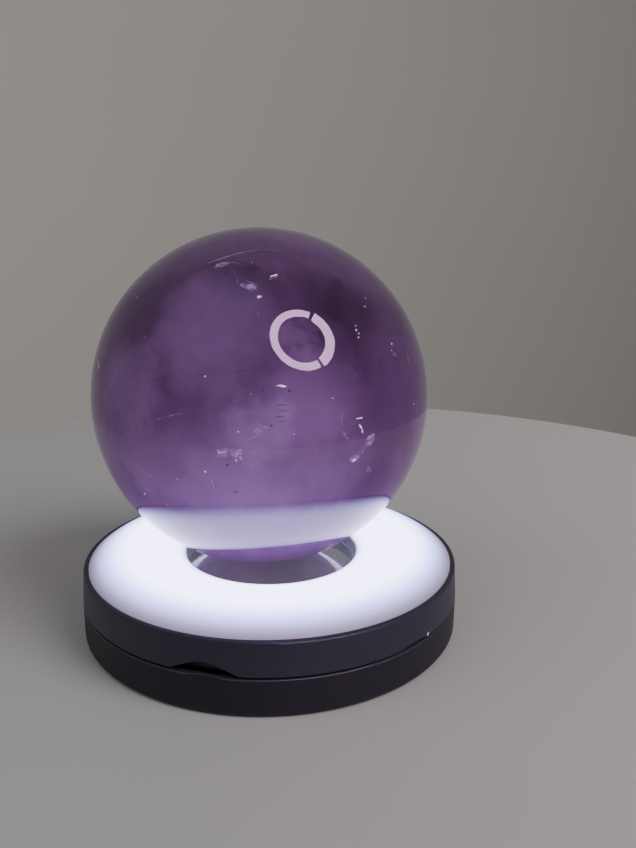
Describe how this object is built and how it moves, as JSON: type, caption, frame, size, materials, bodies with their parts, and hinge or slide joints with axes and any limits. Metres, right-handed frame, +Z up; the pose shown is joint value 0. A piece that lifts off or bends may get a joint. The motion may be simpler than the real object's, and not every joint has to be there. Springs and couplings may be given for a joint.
{
  "type": "crystal ball on lit stand",
  "caption": "Purple amethyst crystal ball standing in the mirror-floored well of a round folding ring-light stand, with hinged upper shell and power button.",
  "frame": {"origin": "centre of the stand's underside, on the table", "axes": "+Z up along the stand's own axis; -Y faces the viewer, with the thumb notch at the front left"},
  "size_m": [0.085, 0.0849, 0.0882],
  "materials": {
    "amethyst": "polished",
    "shell_black": "satin, fine moulded grain",
    "cover_black": "matt",
    "button_black": "satin",
    "opal_diffuser": "opal, smooth",
    "mirror_glass": "polished",
    "tray_white": "matt white",
    "light_board_white": "white solder mask",
    "board_green": "green solder mask",
    "led_ceramic": "matt",
    "chip_black": "matt",
    "port_steel": "drawn",
    "pin_brass": "plated",
    "switch_metal": "stamped",
    "battery_foil": "pouch foil",
    "adhesive": "foam tape",
    "lead_insulation": "soft",
    "screw_steel": "plated",
    "magnet_nickel": "plated",
    "hinge_steel": "ground",
    "bumper_silicone": "soft",
    "lens_clear": "polished"
  },
  "bodies": {
    "base": {"base_shell": "shell_black", "hinge_pin": "hinge_steel", "base_mirror": "mirror_glass", "base_mirror_tape": "adhesive", "base_magnets": "magnet_nickel", "closing_bumpers": "bumper_silicone"},
    "head": {"head_shell": "shell_black", "diffuser_ring": "opal_diffuser", "light_tray": "tray_white", "centre_mirror": "mirror_glass", "mirror_tape": "adhesive", "led_board": "light_board_white", "leds": "led_ceramic", "control_board": "board_green", "board_chips": "chip_black", "board_pins": "pin_brass", "usb_port": "port_steel", "tact_switch": "switch_metal", "battery": "battery_foil", "battery_pad": "adhesive", "battery_leads": "lead_insulation", "head_cover": "cover_black", "cover_screws": "screw_steel", "head_magnets": "magnet_nickel", "indicator_lens": "lens_clear"},
    "button": {"power_button": "button_black"},
    "ball": {"ball": "amethyst"}
  },
  "joints": [
    {"name": "case_hinge", "type": "hinge", "parent": "base", "child": "head", "pos_m": [0.01155, 0.03662, 0.008], "axis": [-0.9537, 0.3007, 0], "range_deg": [0, 95]},
    {"name": "button_press", "type": "slide", "parent": "head", "child": "button", "axis": [-0.9063, -0.4226, 0], "range_m": [0, 0.0005], "stiffness_N_per_m": 200, "springref_m": -0.0005},
    {"name": "ball_lift", "type": "slide", "parent": "head", "child": "ball", "axis": [0, 0, 1], "range_m": [0, 0.06]}
  ]
}
